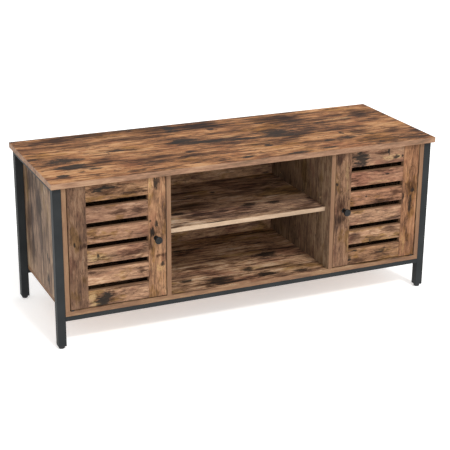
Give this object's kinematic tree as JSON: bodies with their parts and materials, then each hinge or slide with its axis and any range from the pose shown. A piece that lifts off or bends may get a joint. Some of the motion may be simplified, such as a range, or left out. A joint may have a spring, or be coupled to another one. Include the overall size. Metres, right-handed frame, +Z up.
{
  "type": "tv stand with doors",
  "caption": "Low television stand with a rustic board carcass on black square-tube end frames, slatted side doors and an open shelved middle bay.",
  "frame": {"origin": "on the floor, at the middle of the overall box (whose front is the face of the door knobs, 12 mm in front of the top)", "axes": "+X along the length, to the right seen from the front; +Y towards the back; +Z up"},
  "size_m": [1.1, 0.412, 0.45],
  "materials": {
    "rustic_board": "chipboard faced with rustic brown printed melamine paper, matt, knots and saw marks printed",
    "rustic_door_board": "faced board in the same rustic brown print, edges banded",
    "printed_hardboard": "3 mm hardboard, printed on the inner face",
    "black_powder_coated_steel": "fine satin black powder coat",
    "black_polypropylene": "matt moulded",
    "black_painted_knob": "satin black lacquer on turned zinc",
    "beech": "plain turned beech",
    "nylon": "moulded black nylon",
    "brown_catch_plastic": "moulded brown plastic round a magnet",
    "zinc_diecast": "die-cast zinc, dull grey",
    "zinc_plated_steel": "bright zinc plate"
  },
  "bodies": {
    "stand": {"base_screws": "zinc_plated_steel", "bottom_panel": "rustic_board", "cam_bolts": "zinc_plated_steel", "cam_locks": "zinc_diecast", "catch_screws": "zinc_plated_steel", "centre_back_panel": "printed_hardboard", "centre_shelf": "rustic_board", "foot_inserts": "black_polypropylene", "front_base_rail": "black_powder_coated_steel", "front_left_post": "black_powder_coated_steel", "front_right_post": "black_powder_coated_steel", "left_back_panel": "printed_hardboard", "left_divider": "rustic_board", "left_side_panel": "rustic_board", "left_top_rail": "black_powder_coated_steel", "magnetic_catches": "brown_catch_plastic", "pivot_bushes": "nylon", "rail_screws": "zinc_plated_steel", "rail_tongue_screws": "zinc_plated_steel", "rail_tongues": "black_powder_coated_steel", "rear_base_rail": "black_powder_coated_steel", "rear_left_post": "black_powder_coated_steel", "rear_right_post": "black_powder_coated_steel", "right_back_panel": "printed_hardboard", "right_divider": "rustic_board", "right_side_panel": "rustic_board", "right_top_rail": "black_powder_coated_steel", "rivet_nuts": "zinc_plated_steel", "shelf_pins": "zinc_plated_steel", "side_panel_screws": "zinc_plated_steel", "top_panel": "rustic_board", "wood_dowels": "beech"},
    "left_door": {"left_door_bottom_rail": "rustic_door_board", "left_door_hinge_stile": "rustic_door_board", "left_door_knob": "black_painted_knob", "left_door_knob_screw": "zinc_plated_steel", "left_door_latch_stile": "rustic_door_board", "left_door_pivot_pins": "zinc_plated_steel", "left_door_slat_1": "rustic_door_board", "left_door_slat_2": "rustic_door_board", "left_door_slat_3": "rustic_door_board", "left_door_slat_4": "rustic_door_board", "left_door_strike_plate": "zinc_plated_steel", "left_door_top_rail": "rustic_door_board"},
    "right_door": {"right_door_bottom_rail": "rustic_door_board", "right_door_hinge_stile": "rustic_door_board", "right_door_knob": "black_painted_knob", "right_door_knob_screw": "zinc_plated_steel", "right_door_latch_stile": "rustic_door_board", "right_door_pivot_pins": "zinc_plated_steel", "right_door_slat_1": "rustic_door_board", "right_door_slat_2": "rustic_door_board", "right_door_slat_3": "rustic_door_board", "right_door_slat_4": "rustic_door_board", "right_door_strike_plate": "zinc_plated_steel", "right_door_top_rail": "rustic_door_board"},
    "front_left_foot_screw": {"front_left_foot": "black_polypropylene"},
    "rear_left_foot_screw": {"rear_left_foot": "black_polypropylene"},
    "front_right_foot_screw": {"front_right_foot": "black_polypropylene"},
    "rear_right_foot_screw": {"rear_right_foot": "black_polypropylene"}
  },
  "joints": [
    {"name": "left_door_hinge", "type": "hinge", "parent": "stand", "child": "left_door", "pos_m": [-0.5025, -0.177, 0.268], "axis": [0, 0, -1], "range_deg": [0, 100]},
    {"name": "right_door_hinge", "type": "hinge", "parent": "stand", "child": "right_door", "pos_m": [0.5025, -0.177, 0.268], "axis": [0, 0, 1], "range_deg": [0, 100]},
    {"name": "front_left_foot_height", "type": "slide", "parent": "stand", "child": "front_left_foot_screw", "axis": [0, 0, -1], "range_m": [0, 0.01]},
    {"name": "rear_left_foot_height", "type": "slide", "parent": "stand", "child": "rear_left_foot_screw", "axis": [0, 0, -1], "range_m": [0, 0.01]},
    {"name": "front_right_foot_height", "type": "slide", "parent": "stand", "child": "front_right_foot_screw", "axis": [0, 0, -1], "range_m": [0, 0.01]},
    {"name": "rear_right_foot_height", "type": "slide", "parent": "stand", "child": "rear_right_foot_screw", "axis": [0, 0, -1], "range_m": [0, 0.01]}
  ]
}
